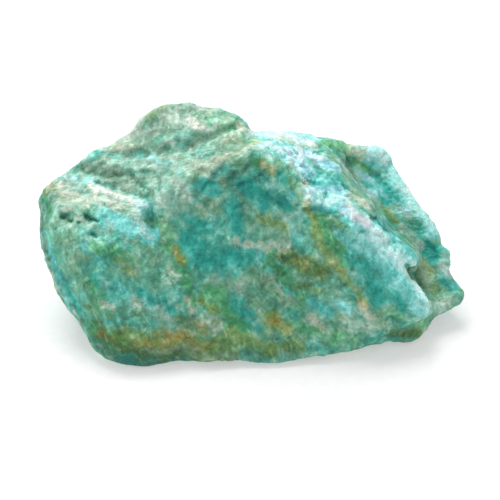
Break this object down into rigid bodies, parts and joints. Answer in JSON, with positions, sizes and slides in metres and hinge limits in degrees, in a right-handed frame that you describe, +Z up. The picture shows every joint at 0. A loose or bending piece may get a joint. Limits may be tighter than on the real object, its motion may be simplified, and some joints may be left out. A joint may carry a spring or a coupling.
{
  "type": "raw amazonite",
  "caption": "Irregular broken lump of blue-green feldspar with a steep front face, a small bench, a stepped ledge and a flat cleaved face that it rests on.",
  "frame": {"origin": "centre of the bounding box, at its bottom, where the stone rests", "axes": "+X along the stone's length, towards its thin end; -Y towards its steep front face; +Z up"},
  "size_m": [0.0494, 0.0294, 0.0244],
  "materials": {
    "amazonite": "rough broken feldspar"
  },
  "bodies": {
    "root": {"amazonite": "amazonite"}
  },
  "joints": []
}
